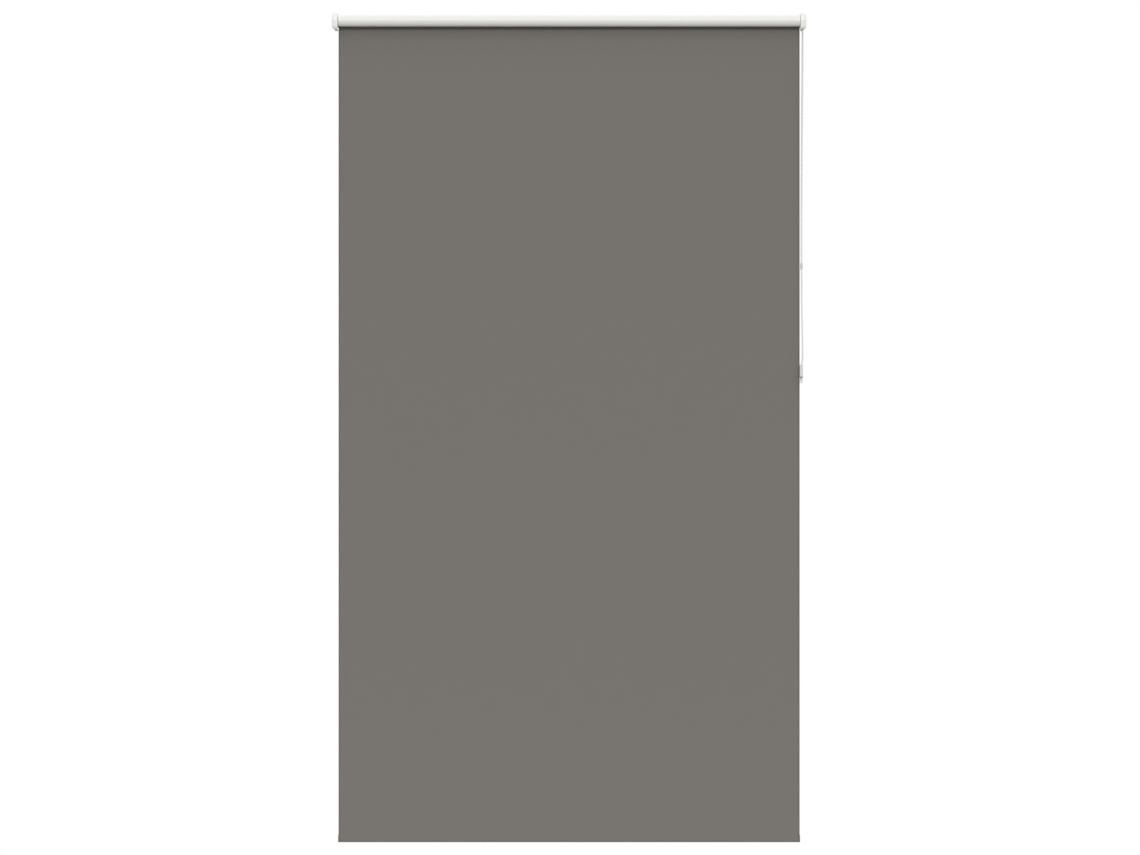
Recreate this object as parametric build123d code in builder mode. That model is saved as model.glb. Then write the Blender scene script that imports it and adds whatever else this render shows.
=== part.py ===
from build123d import *
import math
import os

# Roller blind: a cloth on a 28 mm tube, wound by an endless bead chain and hung fully lowered.
# Millimetres. X runs along the tube to the right, Y points at the wall and Z is up. The origin is on
# the wall, level with the tube's axis and midway between the two brackets.

# ---------------------------------------------------------------- driving dimensions

# Cloth and tube
fabric_width = 1169.0
fabric_drop = 2081.3  # from the tube's axis down to the hem's lowest edge
fabric_t = 0.35
tube_r = 14.0
tube_wall = 1.0
key_width = 1.6  # two ribs inside the tube that turn it with its plugs
key_height = 1.2
standoff = 27.0  # from the wall to the tube's axis
tape_t = 0.1
tape_start = 42.0  # degrees up from the back of the tube
tape_end = 80.0

# Bottom rail
rail_height = 18.1
rail_t = 3.6
rail_wall = 0.8
hem_foot = 7.0  # the hem's section narrows to its foot over this height
rail_inset = 1.0  # the rail ends this far inside the cloth's edge
seam_height = 4.0
cap_t = 1.2
cap_tongue = 12.0
cap_edge_r = 0.4

# End fittings, counted outwards from the cloth's edge
rim_gap = 1.0
cover_width = 14.5
cover_wall = 1.6
cover_bottom = 24.0  # below the axis
cover_slope = 8.0  # the lower outer corner is cut back this much
cover_edge_r = 4.5
hollow_edge_r = 2.6
rim_edge_r = 1.4
slope_edge_r = 2.0
cover_back_gap = 2.0  # the cover stops short of the wall
front_round = 10.0
back_round = 5.0
snap_width = 4.0
snap_t = 1.0
snap_reach = 1.4  # the snap arms reach this far past the bracket's side plate
snap_y = -5.0
plate_t = 1.5
plate_gap = 0.3
plate_top = 13.5
plate_bottom = 15.0
plate_front = 14.0
plate_corner_r = 8.0
flange_corner_r = 3.0
flange_reach = 15.0  # the wall flange runs this far in behind the cloth
screw_inset = 9.0  # wall holes, in from the cloth's edge
screw_spacing = 16.0
screw_hole_r = 2.25

# Bead chain and its wheel
bead_r = 2.25
bead_pitch = 6.0
cord_r = 0.6
pockets = 14
wheel_width = 7.6
wheel_rim = 1.8  # the rim stands out past the pitch circle by this much
chain_top = 12.5  # the free loop starts this far below the axis

# Clutch
base_t = 1.4
base_boss_r = 5.0
hook_offset = 9.5  # two hooks beside the base's boss, in the bracket
hook_width = 4.0
hook_t = 2.0
guard_wall = 1.3
guard_drop = 15.8  # the guard's legs reach this far below the axis
divider_drop = 20.5
hub_journal_r = 7.0
drum_r = 6.0
spring_wire = 1.0
spring_coils = 12
springs = 2
spring_gap = 1.5
sleeve_t = 1.35
hub_collar = 4.5
hub_end_wall = 6.0
nose_r = 3.5
washer_r = 6.0
washer_t = 1.0
screw_head_r = 4.0
screw_head_t = 2.4
screw_shank_r = 1.4
screw_shank = 14.0

# Idle end
idle_collar = 7.0
idle_plug_length = 35.0
idle_wall = 5.0
bush_boss_r = 6.0
bush_flange_r = 9.0
bush_flange_t = 2.0
bush_nose = 8.6
pin_r = 2.5
pin_grip = 6.0
pin_collar_r = 4.4
pin_collar_t = 2.5
pin_stub_r = 1.8
pin_stub = 14.0
chamber_r = 5.2
coil_r = 3.4
coil_wire_r = 0.4
coil_pitch = 2.4
seat_t = 3.0
seat_nib_r = 2.4
seat_nib = 2.5

# Chain tensioner
tensioner_x = 588.0
tensioner_wheel_z = -891.25
tensioner_pitch_r = 7.5
tensioner_wheel_width = 5.6
tensioner_top = -871.0
tensioner_plate = 0.9
tensioner_rim_wall = 1.5
tensioner_corner_r = 5.0
tensioner_pin_r = 1.5
tensioner_boss_r = 2.8
tensioner_flange = 1.6  # the wheel's rim beyond the chain's middle line
rib_half = 3.0
clamp_screw_r = 1.0
clamp_head_r = 2.1
clamp_head_t = 0.6
neck_width = 6.0
neck_depth = 5.0
eye_r = 4.0
eye_hole_r = 1.8
eye_drop = 11.0  # below the tensioner's case
connector_r = 3.2
connector_length = 14.0
connector_place = 0.42  # along its run of the chain

# Clearances
run_gap = 0.05  # radial, journals and bushes
slip_gap = 0.1  # pieces that slide together and stay
side_gap = 0.4  # beside a wheel
swing_gap = 0.5  # round moving beads

# ---------------------------------------------------------------- worked out from them

half = fabric_width / 2
tube_bore_r = tube_r - tube_wall
wrap_r = tube_r + tape_t
cloth_front = wrap_r - standoff  # Y of the hanging cloth's front face

rim_x = half + rim_gap
outer_x = rim_x + cover_width
plate_out = outer_x - cover_wall - plate_gap
plate_in = plate_out - plate_t
base_in = plate_in - base_t
wheel_out = base_in - side_gap
wheel_in = wheel_out - wheel_width
chain_x = (wheel_in + wheel_out) / 2
guard_inside = wheel_in - side_gap
guard_face = guard_inside - guard_wall
collar_x = half + 0.2

pitch_r = pockets * bead_pitch / (2 * math.pi)
rim_r = pitch_r + wheel_rim
bead_reach = pitch_r + bead_r
guard_r = bead_reach + swing_gap
guard_outer_r = guard_r + guard_wall
cover_r = guard_outer_r + swing_gap + cover_wall
cover_back = standoff - cover_back_gap
divider_half = pitch_r - bead_r - 2 * side_gap

spring_r = drum_r + run_gap + spring_wire
sleeve_in = spring_r + 0.2
sleeve_out = sleeve_in + sleeve_t
hub_bore_r = sleeve_out + 0.2
plug_r = tube_bore_r - slip_gap
spring_length = spring_coils * spring_wire
first_spring = guard_face - 1.0
drum_end = first_spring - springs * (spring_length + spring_gap) - 0.5
hub_wall_x = drum_end - side_gap
sleeve_end = drum_end + 1.0
hub_end = hub_wall_x - hub_end_wall
nose_end = hub_end - side_gap

hem_t = rail_t + 2 * slip_gap + 2 * fabric_t
hem_height = rail_height + 2 * slip_gap + 2 * fabric_t
hem_y = cloth_front + hem_t / 2
hem_z = -fabric_drop + hem_height / 2
panel_bottom = -fabric_drop + hem_height + seam_height + 0.2

tube_axis = Axis((0, -standoff, 0), (1, 0, 0))
lengthwise = Plane(origin=(0, -standoff, 0), x_dir=(1, 0, 0), z_dir=(0, -1, 0))


def across(x):
    """Plane square to the tube at x: its origin on the tube's axis, its x towards the wall, its y up."""
    return Plane(origin=(x, -standoff, 0), x_dir=(0, 1, 0), z_dir=(1, 0, 0))


def ring_sector(inner, outer, start, end):
    """Part of a flat ring between two angles in degrees."""
    with BuildSketch(Plane.XY) as sector:
        with BuildLine():
            far = CenterArc((0, 0), outer, start, end - start)
            near = CenterArc((0, 0), inner, start, end - start)
            Line(far @ 0, near @ 0)
            Line(far @ 1, near @ 1)
        make_face()
    return sector.sketch


def turned(points, axis=tube_axis):
    """A solid of revolution about the tube's axis, from a profile of (x, radius) corners."""
    with BuildPart() as solid:
        with BuildSketch(lengthwise):
            with BuildLine():
                Polyline(*points, close=True)
            make_face()
        revolve(axis=axis)
    return solid.part


os.makedirs("parts", exist_ok=True)
pieces = []

# ---------------------------------------------------------------- tube and cloth

tube_left = -collar_x + idle_collar
tube_right = collar_x - hub_collar
key_root = 0.3  # the ribs run this deep into the tube's wall

with BuildPart() as roller_tube:
    with BuildSketch(across(tube_left)):
        Circle(tube_r)
        Circle(tube_bore_r, mode=Mode.SUBTRACT)
        with PolarLocations(tube_bore_r + (key_root - key_height) / 2, 2, start_angle=90):
            Rectangle(key_height + key_root, key_width)
    extrude(amount=tube_right - tube_left)
roller_tube.part.label = "roller_tube"
pieces.append(roller_tube)

# Double-sided tape along the tube, under the cloth's upper edge
with BuildPart() as fabric_tape:
    with BuildSketch(across(-half)):
        add(ring_sector(tube_r, wrap_r, tape_start, tape_end))
    extrude(amount=fabric_width)
fabric_tape.part.label = "fabric_tape"
pieces.append(fabric_tape)

# The last of the cloth, still on the tube: from the tape over the back to where it leaves
with BuildPart() as fabric_wrap:
    with BuildSketch(across(-half)):
        add(ring_sector(wrap_r, wrap_r + fabric_t, 0, tape_end))
    extrude(amount=fabric_width)
fabric_wrap.part.label = "fabric_wrap"
pieces.append(fabric_wrap)

# The hanging cloth
with BuildPart() as fabric_panel:
    with BuildSketch(Plane.XY.offset(panel_bottom)):
        with Locations((0, cloth_front + fabric_t / 2)):
            Rectangle(fabric_width, fabric_t)
    extrude(amount=-panel_bottom)
fabric_panel.part.label = "fabric_panel"
pieces.append(fabric_panel)


def blade(inset):
    """The hem's section, shrunk by inset all round: rounded on top, with a half ellipse for a foot."""
    width, height, foot = hem_t - 2 * inset, hem_height - 2 * inset, hem_foot - inset
    with BuildSketch(Plane.XY) as section:
        with Locations((0, foot / 2)):
            Rectangle(width, height - foot)
        fillet(section.vertices().group_by(Axis.Y)[-1], width * 0.4)
        with Locations((0, foot - height / 2)):
            Ellipse(width / 2, foot)
    return section.sketch


# Hem: the cloth turned up behind itself and welded, as a pocket for the rail
with BuildPart() as fabric_hem:
    with BuildSketch(Plane(origin=(-half, hem_y, hem_z), x_dir=(0, 1, 0), z_dir=(1, 0, 0))):
        add(blade(0))
        add(blade(fabric_t), mode=Mode.SUBTRACT)
        with Locations((fabric_t - hem_t / 2, hem_height / 2 + (seam_height - fabric_t) / 2)):
            Rectangle(2 * fabric_t, seam_height + fabric_t)
        # the front face runs straight down over the rounding
        with Locations((fabric_t / 2 - hem_t / 2, hem_height / 2 - hem_t * 0.25)):
            Rectangle(fabric_t, hem_t * 0.5)
    extrude(amount=fabric_width)
fabric_hem.part.label = "fabric_hem"
pieces.append(fabric_hem)

# ---------------------------------------------------------------- bottom rail

rail_plane = Plane(origin=(-half + rail_inset, hem_y, hem_z), x_dir=(0, 1, 0), z_dir=(1, 0, 0))
rail_skin = fabric_t + slip_gap  # how far inside the hem's outside the rail lies

with BuildPart() as bottom_rail:
    with BuildSketch(rail_plane):
        add(blade(rail_skin))
        add(blade(rail_skin + rail_wall), mode=Mode.SUBTRACT)
    extrude(amount=fabric_width - 2 * rail_inset)
bottom_rail.part.label = "bottom_rail"
pieces.append(bottom_rail)

with BuildPart() as rail_cap_right:
    with BuildSketch(Plane(origin=(half, hem_y, hem_z), x_dir=(0, 1, 0), z_dir=(1, 0, 0))):
        add(blade(0))
    extrude(amount=cap_t)
    fillet(rail_cap_right.faces().sort_by(Axis.X)[-1].edges(), cap_edge_r)
    with BuildSketch(Plane(origin=(half, hem_y, hem_z), x_dir=(0, 1, 0), z_dir=(1, 0, 0))):
        add(blade(rail_skin + rail_wall + slip_gap))
    extrude(amount=-cap_tongue)
rail_cap_right.part.label = "rail_cap_right"
pieces.append(rail_cap_right)

with BuildPart() as rail_cap_left:
    mirror(rail_cap_right.part, about=Plane.YZ)
rail_cap_left.part.label = "rail_cap_left"
pieces.append(rail_cap_left)

# ---------------------------------------------------------------- brackets and covers

# A bent steel angle: a side plate square to the tube and a wall flange behind the cloth
with BuildPart() as bracket_blank:
    with BuildSketch(across(plate_in)):
        with Locations(
            ((standoff - plate_front) / 2, (plate_top - plate_bottom) / 2)
        ):
            Rectangle(standoff + plate_front, plate_top + plate_bottom)
    extrude(amount=plate_t)
    with BuildSketch(Plane.XZ):
        with Locations(((plate_out + half - flange_reach) / 2, (plate_top - plate_bottom) / 2)):
            Rectangle(plate_out - half + flange_reach, plate_top + plate_bottom)
    extrude(amount=plate_t)
    fillet(
        bracket_blank.edges()
        .filter_by(Axis.Z)
        .filter_by_position(Axis.X, plate_out - 0.01, plate_out + 0.01)
        .sort_by(Axis.Y)[-1],
        plate_t * 1.6,
    )
    fillet(
        bracket_blank.edges()
        .filter_by(Axis.Z)
        .filter_by_position(Axis.X, plate_in - 0.01, plate_in + 0.01)
        .sort_by(Axis.Y)[-1],
        plate_t * 0.6,
    )
    fillet(
        bracket_blank.edges()
        .filter_by(Axis.X)
        .filter_by_position(Axis.Y, -standoff - plate_front - 0.01, -standoff - plate_front + 0.01),
        plate_corner_r,
    )
    fillet(
        bracket_blank.edges()
        .filter_by(Axis.Y)
        .filter_by_position(Axis.X, half - flange_reach - 0.01, half - flange_reach + 0.01),
        flange_corner_r,
    )
    with BuildSketch(Plane.XZ):
        with Locations(
            (half - screw_inset, screw_spacing / 2), (half - screw_inset, -screw_spacing / 2)
        ):
            Circle(screw_hole_r)
    extrude(amount=plate_t, mode=Mode.SUBTRACT)

with BuildPart() as drive_bracket:
    add(bracket_blank.part)
    with BuildSketch(across(plate_in)):
        Circle(base_boss_r + slip_gap)
        with Locations((-hook_offset, 0), (hook_offset, 0)):
            Rectangle(hook_t + 2 * slip_gap, hook_width + 2 * slip_gap)
    extrude(amount=plate_t, mode=Mode.SUBTRACT)
drive_bracket.part.label = "drive_bracket"
pieces.append(drive_bracket)

with BuildPart() as idle_bracket:
    mirror(bracket_blank.part, about=Plane.YZ)
    with BuildSketch(across(-plate_in)):
        Circle(bush_boss_r + slip_gap)
    extrude(amount=-plate_t, mode=Mode.SUBTRACT)
idle_bracket.part.label = "idle_bracket"
pieces.append(idle_bracket)

def cover_outline(inset):
    """The cover seen along the tube, shrunk by inset all round."""
    with BuildSketch(Plane.XY) as outline:
        with BuildLine():
            nose = CenterArc((0, 0), cover_r - inset, 90, 90)
            toe = CenterArc(
                (front_round - cover_r, front_round - cover_bottom), front_round - inset, 180, 90
            )
            heel = CenterArc(
                (cover_back - back_round, back_round - cover_bottom), back_round - inset, 270, 90
            )
            Polyline(heel @ 1, (cover_back - inset, cover_r - inset), nose @ 0)
            Line(nose @ 1, toe @ 0)
            Line(toe @ 1, heel @ 0)
        make_face()
    return outline.sketch


def slope_cut(inset):
    """What the sloping lower corner takes off, seen square to the tube, moved in by inset."""
    reach = outer_x + cover_bottom - cover_slope - inset * math.sqrt(2)
    with BuildSketch(Plane.XY) as cut:
        with BuildLine():
            Polyline(
                (reach, 0),
                (reach - 2 * cover_bottom, -2 * cover_bottom),
                (reach, -2 * cover_bottom),
                close=True,
            )
        make_face()
    return cut.sketch


# The cover's hollow
with BuildPart() as cover_hollow:
    with BuildSketch(across(rim_x)):
        add(cover_outline(cover_wall))
    extrude(amount=cover_width - cover_wall)
    with BuildSketch(across(rim_x)):
        with Locations((cover_back - cover_wall, (cover_r - cover_bottom) / 2)):
            Rectangle(2 * cover_wall, cover_r + cover_bottom - 2 * cover_wall)
    extrude(amount=cover_width - cover_wall)
    with BuildSketch(lengthwise):
        add(slope_cut(cover_wall))
    extrude(amount=3 * standoff, both=True, mode=Mode.SUBTRACT)
    # its front and top edges follow the cover's rounding; the back stays square for the bracket
    end_edges = cover_hollow.faces().sort_by(Axis.X)[-1].edges()
    fillet(
        end_edges.filter_by(Axis.Z).sort_by(Axis.Y)[:1] + end_edges.sort_by(Axis.Z)[-2:],
        hollow_edge_r,
    )

# A moulded cap over the bracket, open towards the tube and the wall
with BuildPart() as cover_shell:
    with BuildSketch(across(rim_x)):
        add(cover_outline(0))
    extrude(amount=cover_width)
    fillet(cover_shell.faces().sort_by(Axis.X)[-1].edges(), cover_edge_r)
    with BuildSketch(lengthwise):
        add(slope_cut(0))
    extrude(amount=3 * standoff, both=True, mode=Mode.SUBTRACT)
    slope_face = cover_shell.faces().sort_by(Axis((0, 0, 0), (1, 0, -1)))[-1]
    fillet(slope_face.edges(), slope_edge_r)
    rim_face = cover_shell.faces().sort_by(Axis.X)[0]
    fillet(rim_face.edges().sort_by(Axis.Y)[:-1], rim_edge_r)
    add(cover_hollow.part, mode=Mode.SUBTRACT)
    # two snap arms that hook behind the bracket's side plate
    for edge_z, up in ((plate_top, 1), (-plate_bottom, -1)):
        arm_z = edge_z + up * (2 * slip_gap + snap_t / 2)
        with BuildSketch(Plane.YZ.offset(plate_in - snap_reach)):
            with Locations((snap_y, arm_z)):
                Rectangle(snap_width, snap_t)
        extrude(amount=outer_x - cover_wall / 2 - plate_in + snap_reach)
        with BuildSketch(Plane.YZ.offset(plate_in - snap_reach)):
            with Locations((snap_y, arm_z - up * snap_t)):
                Rectangle(snap_width, snap_t)
        extrude(amount=snap_reach - slip_gap)

with BuildPart() as drive_cover:
    add(cover_shell.part)
    # the chain's two ways out
    with BuildSketch(Plane.XY.offset(-cover_bottom - 1)):
        with Locations((chain_x, pitch_r - standoff), (chain_x, -pitch_r - standoff)):
            RectangleRounded(2 * bead_r + 2, 2 * bead_r + 2, 1.5)
    extrude(amount=cover_bottom - guard_drop, mode=Mode.SUBTRACT)
drive_cover.part.label = "drive_cover"
pieces.append(drive_cover)

with BuildPart() as idle_cover:
    mirror(cover_shell.part, about=Plane.YZ)
idle_cover.part.label = "idle_cover"
pieces.append(idle_cover)

# ---------------------------------------------------------------- clutch at the chain end


def arch(radius, drop):
    """A flat plate, round above the tube's axis and straight-sided below it."""
    with BuildSketch(Plane.XY) as plate:
        with BuildLine():
            crown = CenterArc((0, 0), radius, 0, 180)
            Polyline(crown @ 1, (-radius, -drop), (radius, -drop), crown @ 0)
        make_face()
    return plate.sketch


# The fixed core: a side plate with a boss and two hooks in the bracket, and the shaft it all turns on
with BuildPart() as clutch_base:
    with BuildSketch(across(base_in)):
        add(arch(guard_r - slip_gap, guard_drop))
    extrude(amount=base_t)
    add(
        turned(
            [
                (plate_out - slip_gap, 0),
                (plate_out - slip_gap, base_boss_r),
                (base_in + base_t / 2, base_boss_r),
                (base_in + base_t / 2, hub_journal_r),
                (guard_face + slip_gap, hub_journal_r),
                (guard_face + slip_gap, drum_r),
                (drum_end, drum_r),
                (drum_end, nose_r),
                (nose_end, nose_r),
                (nose_end, 0),
            ]
        )
    )
    with BuildSketch(across(plate_in - base_t / 2)):
        with Locations((-hook_offset, 0), (hook_offset, 0)):
            Rectangle(hook_t, hook_width)
    extrude(amount=plate_t + base_t / 2 - slip_gap)
    with BuildSketch(across(nose_end)):
        Circle(screw_shank_r + slip_gap)
    extrude(amount=screw_shank + 1, mode=Mode.SUBTRACT)
clutch_base.part.label = "clutch_base"
pieces.append(clutch_base)

# Guard round the wheel; from its face hangs a divider that keeps the chain's two strands apart
with BuildPart() as chain_guard:
    with BuildSketch(across(guard_face)):
        add(arch(guard_outer_r, guard_drop))
    extrude(amount=plate_in - guard_face)
    with BuildSketch(across(guard_inside)):
        add(arch(guard_r, guard_drop))
    extrude(amount=plate_in - guard_inside, mode=Mode.SUBTRACT)
    with BuildSketch(across(guard_face)):
        Circle(sleeve_out + swing_gap)
    extrude(amount=guard_wall, mode=Mode.SUBTRACT)
    with BuildSketch(across(guard_face)):
        with BuildLine():
            Polyline(
                (-divider_half, guard_wall - guard_drop),
                (divider_half, guard_wall - guard_drop),
                (divider_half, -guard_r),
                (-divider_half, -guard_r),
                close=True,
            )
        make_face()
    extrude(amount=guard_wall)
    with BuildSketch(across(guard_face)):
        with BuildLine():
            Polyline(
                (-divider_half, -guard_r),
                (divider_half, -guard_r),
                (divider_half * 0.7, -divider_drop),
                (-divider_half * 0.7, -divider_drop),
                close=True,
            )
        make_face()
    extrude(amount=chain_x + bead_r / 2 - guard_face)
chain_guard.part.label = "chain_guard"
pieces.append(chain_guard)

pocket_step = 360 / pockets

# The wheel: a vee rim with a pocket for each bead, and a half sleeve that pushes on the brake springs
with BuildPart() as chain_wheel:
    add(
        turned(
            [
                (wheel_in, hub_journal_r + run_gap),
                (wheel_in, rim_r),
                (wheel_in + 1.0, rim_r),
                (chain_x - cord_r - slip_gap, pitch_r - 1.2),
                (chain_x + cord_r + slip_gap, pitch_r - 1.2),
                (wheel_out - 1.0, rim_r),
                (wheel_out, rim_r),
                (wheel_out, hub_journal_r + run_gap),
            ]
        )
    )
    with BuildSketch(across(chain_x)):
        with PolarLocations(pitch_r, pockets, start_angle=pocket_step / 2):
            Circle(bead_r + 2 * slip_gap)
    extrude(amount=bead_r + slip_gap, both=True, mode=Mode.SUBTRACT)
    with BuildSketch(across(sleeve_end)):
        add(ring_sector(sleeve_in, sleeve_out, 200, 340))
    extrude(amount=wheel_in + 1 - sleeve_end)
chain_wheel.part.label = "chain_wheel"
pieces.append(chain_wheel)

# The beads in the wheel's upper pockets, on their cord
with BuildPart() as chain_on_wheel:
    with BuildLine(across(chain_x)) as pitch_line:
        CenterArc((0, 0), pitch_r, pocket_step / 2, 180 - pocket_step)
    with BuildSketch(Plane(origin=pitch_line.line @ 0, z_dir=pitch_line.line % 0)):
        Circle(cord_r)
    sweep()
    with Locations(across(chain_x)):
        with PolarLocations(
            pitch_r,
            pockets // 2,
            start_angle=pocket_step / 2,
            angular_range=180 - pocket_step,
            endpoint=True,
        ):
            Sphere(bead_r)
chain_on_wheel.part.label = "chain_on_wheel"
pieces.append(chain_on_wheel)

# Two close-wound brake springs that grip the shaft unless the wheel turns them
with BuildPart() as brake_springs:
    for index in range(springs):
        end_x = first_spring - index * (spring_length + spring_gap)
        start_x = end_x - spring_length
        ridge = drum_r + run_gap + spring_wire / 2
        with BuildSketch(lengthwise):
            with BuildLine():
                Polyline(
                    (start_x, ridge),
                    (start_x, drum_r + run_gap),
                    (end_x, drum_r + run_gap),
                    (end_x, ridge),
                )
                for coil in range(spring_coils):
                    turn_x = start_x + coil * spring_wire
                    ThreePointArc(
                        (turn_x, ridge),
                        (turn_x + spring_wire / 2, ridge + spring_wire / 2),
                        (turn_x + spring_wire, ridge),
                    )
            make_face()
        revolve(axis=tube_axis)
        # the bent ends, one on each side, between the wheel's sleeve and the hub's rib
        tang = hub_bore_r - slip_gap - ridge + spring_wire / 4
        for tang_x, side in ((start_x, 1), (end_x - spring_wire, -1)):
            with BuildSketch(across(tang_x)):
                with Locations((side * (hub_bore_r - slip_gap - tang / 2), 0)):
                    Rectangle(tang, spring_wire)
            extrude(amount=spring_wire)
brake_springs.part.label = "brake_springs"
pieces.append(brake_springs)


# Output hub: a plug in the tube's end, turned by the springs through its inner rib
with BuildPart() as output_hub:
    add(
        turned(
            [
                (collar_x, hub_bore_r),
                (collar_x, tube_r),
                (tube_right, tube_r),
                (tube_right, plug_r),
                (hub_end, plug_r),
                (hub_end, nose_r + run_gap),
                (hub_wall_x, nose_r + run_gap),
                (hub_wall_x, hub_bore_r),
            ]
        )
    )
    with BuildSketch(across(hub_end)):
        with PolarLocations(tube_bore_r - key_height / 2, 2, start_angle=90):
            Rectangle(key_height + 2 * slip_gap, key_width + 2 * slip_gap)
    extrude(amount=tube_right - hub_end, mode=Mode.SUBTRACT)
    with BuildSketch(across(hub_wall_x - slip_gap)):
        add(ring_sector(sleeve_in, hub_bore_r + slip_gap, 20, 160))
    extrude(amount=collar_x - hub_wall_x + slip_gap)
    chamfer(output_hub.edges().filter_by(GeomType.CIRCLE).sort_by(Axis.X)[-1], 0.4)
output_hub.part.label = "output_hub"
pieces.append(output_hub)

with BuildPart() as hub_washer:
    with BuildSketch(across(nose_end - washer_t)):
        Circle(washer_r)
        Circle(screw_shank_r + slip_gap, mode=Mode.SUBTRACT)
    extrude(amount=washer_t)
hub_washer.part.label = "hub_washer"
pieces.append(hub_washer)

with BuildPart() as hub_screw:
    with BuildSketch(across(nose_end - washer_t - screw_head_t)):
        Circle(screw_head_r)
    extrude(amount=screw_head_t)
    fillet(hub_screw.edges().sort_by(Axis.X)[0], screw_head_t / 2)
    with BuildSketch(across(nose_end - washer_t)):
        Circle(screw_shank_r)
    extrude(amount=screw_shank + washer_t)
    with BuildSketch(across(nose_end - washer_t - screw_head_t)):
        Rectangle(screw_head_r, 0.8)
        Rectangle(0.8, screw_head_r)
    extrude(amount=screw_head_t / 2, mode=Mode.SUBTRACT)
hub_screw.part.label = "hub_screw"
pieces.append(hub_screw)

# ---------------------------------------------------------------- idle end

bush_nose_x = plate_in - bush_nose
pin_tip_x = bush_nose_x + pin_grip
plug_end_x = -collar_x + idle_plug_length
pin_collar_x = -collar_x + idle_wall + run_gap
coil_start_x = pin_collar_x + pin_collar_t + run_gap
seat_x = plug_end_x - seat_t

with BuildPart() as idle_bush:
    add(
        turned(
            [
                (slip_gap - plate_out, 0),
                (slip_gap - plate_out, bush_boss_r),
                (-plate_in, bush_boss_r),
                (-plate_in, bush_flange_r),
                (bush_flange_t - plate_in, bush_flange_r),
                (bush_flange_t - plate_in, bush_boss_r),
                (-bush_nose_x, bush_boss_r),
                (-bush_nose_x, pin_r + run_gap),
                (-pin_tip_x - 1, pin_r + run_gap),
                (-pin_tip_x - 1, 0),
            ]
        )
    )
    chamfer(idle_bush.edges().filter_by(GeomType.CIRCLE).sort_by(Axis.X)[-2:], 0.4)
idle_bush.part.label = "idle_bush"
pieces.append(idle_bush)

with BuildPart() as idle_plug:
    add(
        turned(
            [
                (-collar_x, pin_r + run_gap),
                (-collar_x, tube_r),
                (tube_left, tube_r),
                (tube_left, plug_r),
                (plug_end_x, plug_r),
                (plug_end_x, chamber_r),
                (-collar_x + idle_wall, chamber_r),
                (-collar_x + idle_wall, pin_r + run_gap),
            ]
        )
    )
    with BuildSketch(across(tube_left)):
        with PolarLocations(tube_bore_r - key_height / 2, 2, start_angle=90):
            Rectangle(key_height + 2 * slip_gap, key_width + 2 * slip_gap)
    extrude(amount=plug_end_x - tube_left, mode=Mode.SUBTRACT)
    idle_rims = idle_plug.edges().filter_by(GeomType.CIRCLE).group_by(Axis.X)[0]
    chamfer(idle_rims.sort_by(SortBy.RADIUS)[-1], 0.4)
idle_plug.part.label = "idle_plug"
pieces.append(idle_plug)

# The sprung pin that carries this end: pushed in, it lets the tube out of its brackets
with BuildPart() as idle_pin:
    add(
        turned(
            [
                (-pin_tip_x, 0),
                (-pin_tip_x, pin_r - 0.6),
                (-pin_tip_x + 0.6, pin_r),
                (pin_collar_x, pin_r),
                (pin_collar_x, pin_collar_r),
                (pin_collar_x + pin_collar_t, pin_collar_r),
                (pin_collar_x + pin_collar_t, pin_stub_r),
                (pin_collar_x + pin_collar_t + pin_stub, pin_stub_r),
                (pin_collar_x + pin_collar_t + pin_stub, 0),
            ]
        )
    )
idle_pin.part.label = "idle_pin"
pieces.append(idle_pin)

with BuildPart() as idle_spring:
    with BuildLine() as coil_line:
        Helix(
            pitch=coil_pitch,
            height=seat_x - coil_start_x - 2 * (coil_wire_r + run_gap),
            radius=coil_r,
            center=(coil_start_x + coil_wire_r + run_gap, -standoff, 0),
            direction=(1, 0, 0),
        )
    with BuildSketch(Plane(origin=coil_line.line @ 0, z_dir=coil_line.line % 0)):
        Circle(coil_wire_r)
    sweep()
idle_spring.part.label = "idle_spring"
pieces.append(idle_spring)

with BuildPart() as idle_spring_seat:
    add(
        turned(
            [
                (seat_x - seat_nib, 0),
                (seat_x - seat_nib, seat_nib_r),
                (seat_x, seat_nib_r),
                (seat_x, chamber_r - run_gap),
                (plug_end_x, chamber_r - run_gap),
                (plug_end_x, 0),
            ]
        )
    )
idle_spring_seat.part.label = "idle_spring_seat"
pieces.append(idle_spring_seat)

# ---------------------------------------------------------------- bead chain

# The free loop's route: down in front of the tube, round the tensioner's wheel and up behind.
wheel_near = tensioner_pitch_r * math.tan(math.radians(22.5))
front_y = -standoff - tensioner_pitch_r
back_y = -standoff + tensioner_pitch_r
low_z = tensioner_wheel_z - tensioner_pitch_r
chain_points = [
    (591.7, -40.4, -chain_top),
    (590.3, -40.2, -180.0),
    (588.6, -39.5, -370.0),
    (587.9, -38.2, -550.0),
    (588.7, -36.9, -690.0),
    (590.0, -35.9, -775.0),
    (591.3, -35.2, -830.0),
    (591.4, -34.9, -856.0),
    (588.9, -34.6, -869.0),
    (588.0, -34.5, -882.0),
    (tensioner_x, front_y, tensioner_wheel_z - wheel_near),
    (tensioner_x, -standoff - wheel_near, low_z),
    (tensioner_x, -standoff + wheel_near, low_z),
    (tensioner_x, back_y, tensioner_wheel_z - wheel_near),
    (588.0, -19.5, -882.0),
    (589.0, -19.4, -869.0),
    (591.6, -19.1, -856.0),
    (591.8, -18.7, -830.0),
    (590.6, -17.9, -770.0),
    (589.4, -16.9, -680.0),
    (589.0, -15.7, -540.0),
    (589.7, -14.5, -360.0),
    (590.8, -13.7, -170.0),
    (591.7, -13.6, -chain_top),
]


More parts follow.
